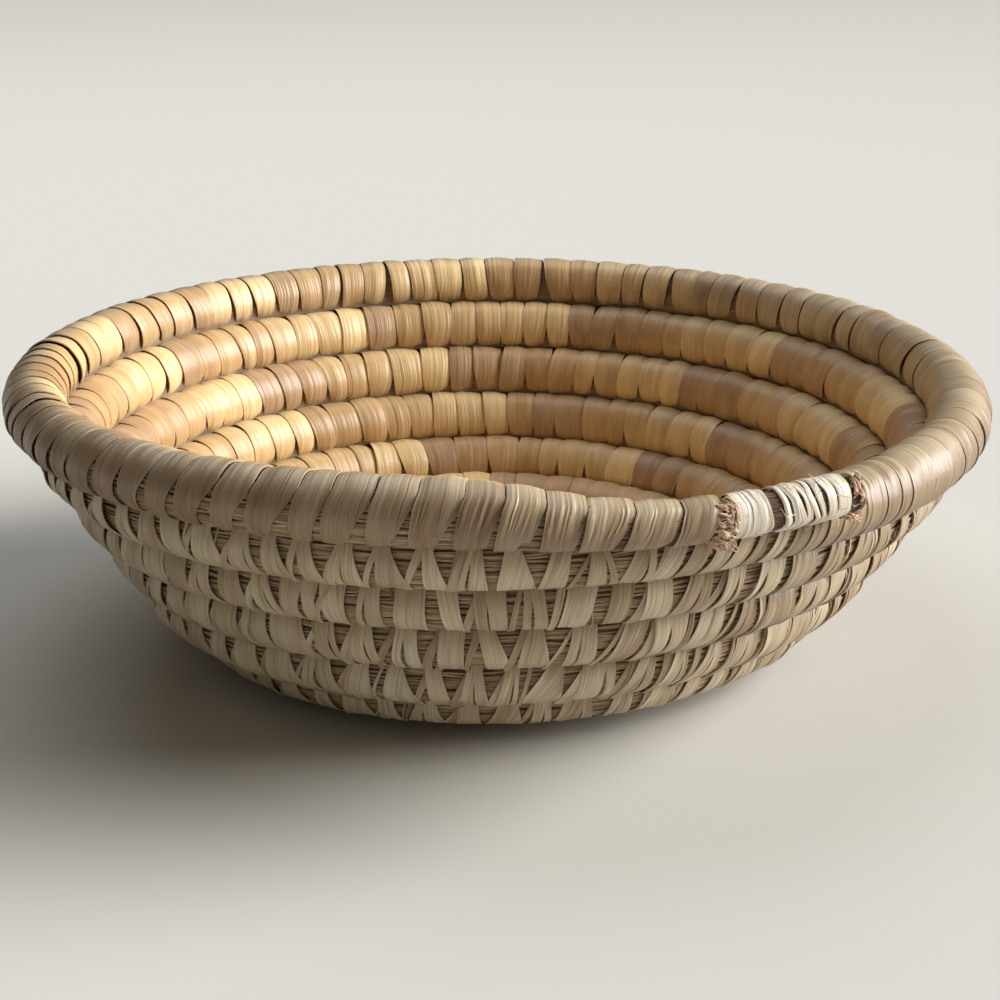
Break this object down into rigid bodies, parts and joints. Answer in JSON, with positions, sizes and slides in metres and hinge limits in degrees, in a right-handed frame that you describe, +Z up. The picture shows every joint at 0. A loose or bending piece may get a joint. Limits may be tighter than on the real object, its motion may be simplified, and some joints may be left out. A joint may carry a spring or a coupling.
{
  "type": "coiled straw basket",
  "caption": "Shallow flared bowl basket, a spiral coil of grass bound with palm-leaf strips, open at the top, for bread, fruit or small things.",
  "frame": {"origin": "middle of the base, on the face that it stands on", "axes": "+Z up; -Y towards the front, with the coil's end at the front right; +X to the right"},
  "size_m": [0.2489, 0.2533, 0.0775],
  "materials": {
    "palm_leaf": "satin",
    "grass_stem": "matt",
    "tail_leaf": "satin",
    "frayed_fibre": "matt"
  },
  "bodies": {
    "root": {"grass_core": "grass_stem", "start_knot": "palm_leaf", "rim_wrap_1": "palm_leaf", "rim_wrap_2": "palm_leaf", "rim_wrap_3": "palm_leaf", "rim_wrap_4": "palm_leaf", "rim_wrap_5": "palm_leaf", "rim_wrap_6": "palm_leaf", "rim_wrap_7": "palm_leaf", "wall2_wrap_1": "palm_leaf", "wall2_wrap_2": "palm_leaf", "wall2_wrap_3": "palm_leaf", "wall2_wrap_4": "palm_leaf", "wall2_wrap_5": "palm_leaf", "wall2_wrap_6": "palm_leaf", "wall2_wrap_7": "palm_leaf", "wall3_wrap_1": "palm_leaf", "wall3_wrap_2": "palm_leaf", "wall3_wrap_3": "palm_leaf", "wall3_wrap_4": "palm_leaf", "wall3_wrap_5": "palm_leaf", "wall3_wrap_6": "palm_leaf", "wall3_wrap_7": "palm_leaf", "wall4_wrap_1": "palm_leaf", "wall4_wrap_2": "palm_leaf", "wall4_wrap_3": "palm_leaf", "wall4_wrap_4": "palm_leaf", "wall4_wrap_5": "palm_leaf", "wall4_wrap_6": "palm_leaf", "wall4_wrap_7": "palm_leaf", "wall5_wrap_1": "palm_leaf", "wall5_wrap_2": "palm_leaf", "wall5_wrap_3": "palm_leaf", "wall5_wrap_4": "palm_leaf", "wall6_wrap_1": "palm_leaf", "wall6_wrap_2": "palm_leaf", "wall6_wrap_3": "palm_leaf", "wall6_wrap_4": "palm_leaf", "base_wrap_01": "palm_leaf", "base_wrap_02": "palm_leaf", "base_wrap_03": "palm_leaf", "base_wrap_04": "palm_leaf", "base_wrap_05": "palm_leaf", "base_wrap_06": "palm_leaf", "base_wrap_07": "palm_leaf", "base_wrap_08": "palm_leaf", "base_wrap_09": "palm_leaf", "base_wrap_10": "palm_leaf", "tail_band": "tail_leaf", "tail_wrap": "tail_leaf", "tail_lashing_1": "tail_leaf", "tail_lashing_2": "tail_leaf", "tail_lashing_3": "tail_leaf", "tail_fray_1": "frayed_fibre", "tail_fray_2": "frayed_fibre"}
  },
  "joints": []
}
